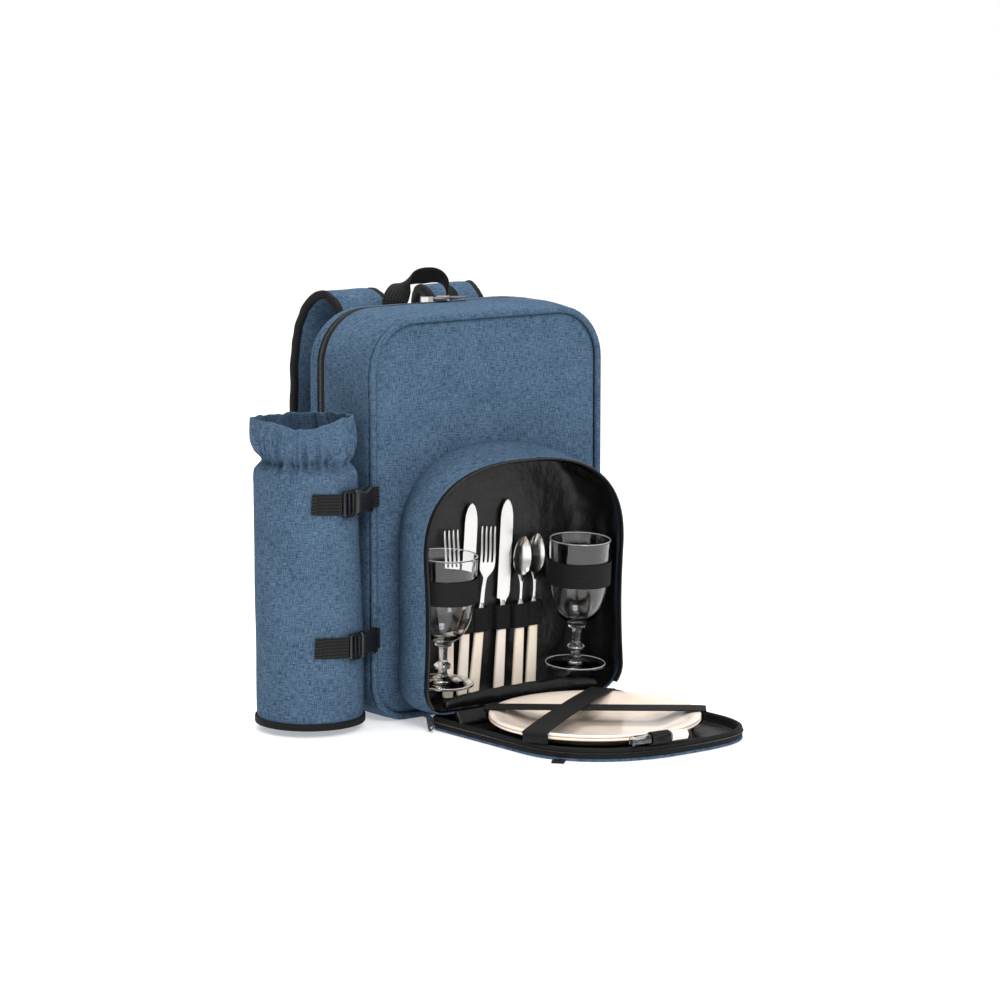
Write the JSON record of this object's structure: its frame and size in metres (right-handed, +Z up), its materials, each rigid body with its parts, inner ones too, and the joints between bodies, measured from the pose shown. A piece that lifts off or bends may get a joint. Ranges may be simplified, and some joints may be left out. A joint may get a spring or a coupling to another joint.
{
  "type": "picnic_backpack",
  "caption": "Blue melange cooler backpack with a drawstring bottle pouch, its front pocket open on cutlery and clear goblets, plates held on the folded-down flap.",
  "frame": {"origin": "middle of the main body's base, on the floor", "axes": "+Z up; the front with the open pocket faces -Y; the bottle pouch hangs on the -X side; the shoulder straps are at +Y"},
  "size_m": [0.3872, 0.474, 0.4325],
  "materials": {
    "blue_cloth": "matte woven melange cloth",
    "lining": "black coated lining with a soft sheen",
    "back_mesh": "black spacer mesh",
    "black_webbing": "ribbed black webbing, elastic and zip tape",
    "cream_plastic": "satin cream melamine",
    "steel": "polished stainless steel",
    "clear_plastic": "clear plastic",
    "buckle_plastic": "black moulded plastic",
    "zip_metal": "nickel plated zinc"
  },
  "bodies": {
    "root": {"front_panel": "blue_cloth", "front_piping": "blue_cloth", "front_gusset": "blue_cloth", "rear_gusset": "blue_cloth", "base_gusset": "blue_cloth", "back_panel": "back_mesh", "main_zip": "black_webbing", "zip_slider_1": "zip_metal", "zip_slider_2": "zip_metal", "pocket_gusset": "blue_cloth", "pocket_lining": "lining", "pocket_zip": "black_webbing", "pocket_lip": "lining", "flap_panel": "blue_cloth", "flap_lining": "lining", "flap_hinge": "lining", "flap_slider": "zip_metal", "flap_tab": "black_webbing", "fork_1": "steel", "fork_1_handle": "cream_plastic", "knife_1": "steel", "knife_1_handle": "cream_plastic", "fork_2": "steel", "fork_2_handle": "cream_plastic", "knife_2": "steel", "knife_2_handle": "cream_plastic", "spoon_1": "steel", "spoon_1_handle": "cream_plastic", "spoon_2": "steel", "spoon_2_handle": "cream_plastic", "cutlery_elastic": "black_webbing", "goblet_left": "clear_plastic", "goblet_band_left": "black_webbing", "goblet_right": "clear_plastic", "goblet_band_right": "black_webbing", "plate_lower": "cream_plastic", "plate_upper": "cream_plastic", "cross_band_1": "black_webbing", "cross_band_2": "black_webbing", "shaker_tube": "clear_plastic", "shaker_cap": "cream_plastic", "shaker_loop": "black_webbing", "pouch_shell": "blue_cloth", "pouch_binding": "black_webbing", "pouch_web_upper": "black_webbing", "anchor_web_upper": "black_webbing", "buckle_plug_upper": "buckle_plastic", "buckle_socket_upper": "buckle_plastic", "pouch_web_lower": "black_webbing", "anchor_web_lower": "black_webbing", "buckle_plug_lower": "buckle_plastic", "buckle_socket_lower": "buckle_plastic", "grab_handle": "black_webbing", "shoulder_strap_left": "blue_cloth", "ladder_lock_left": "buckle_plastic", "strap_web_left": "black_webbing", "shoulder_strap_right": "blue_cloth", "ladder_lock_right": "buckle_plastic", "strap_web_right": "black_webbing"}
  },
  "joints": []
}
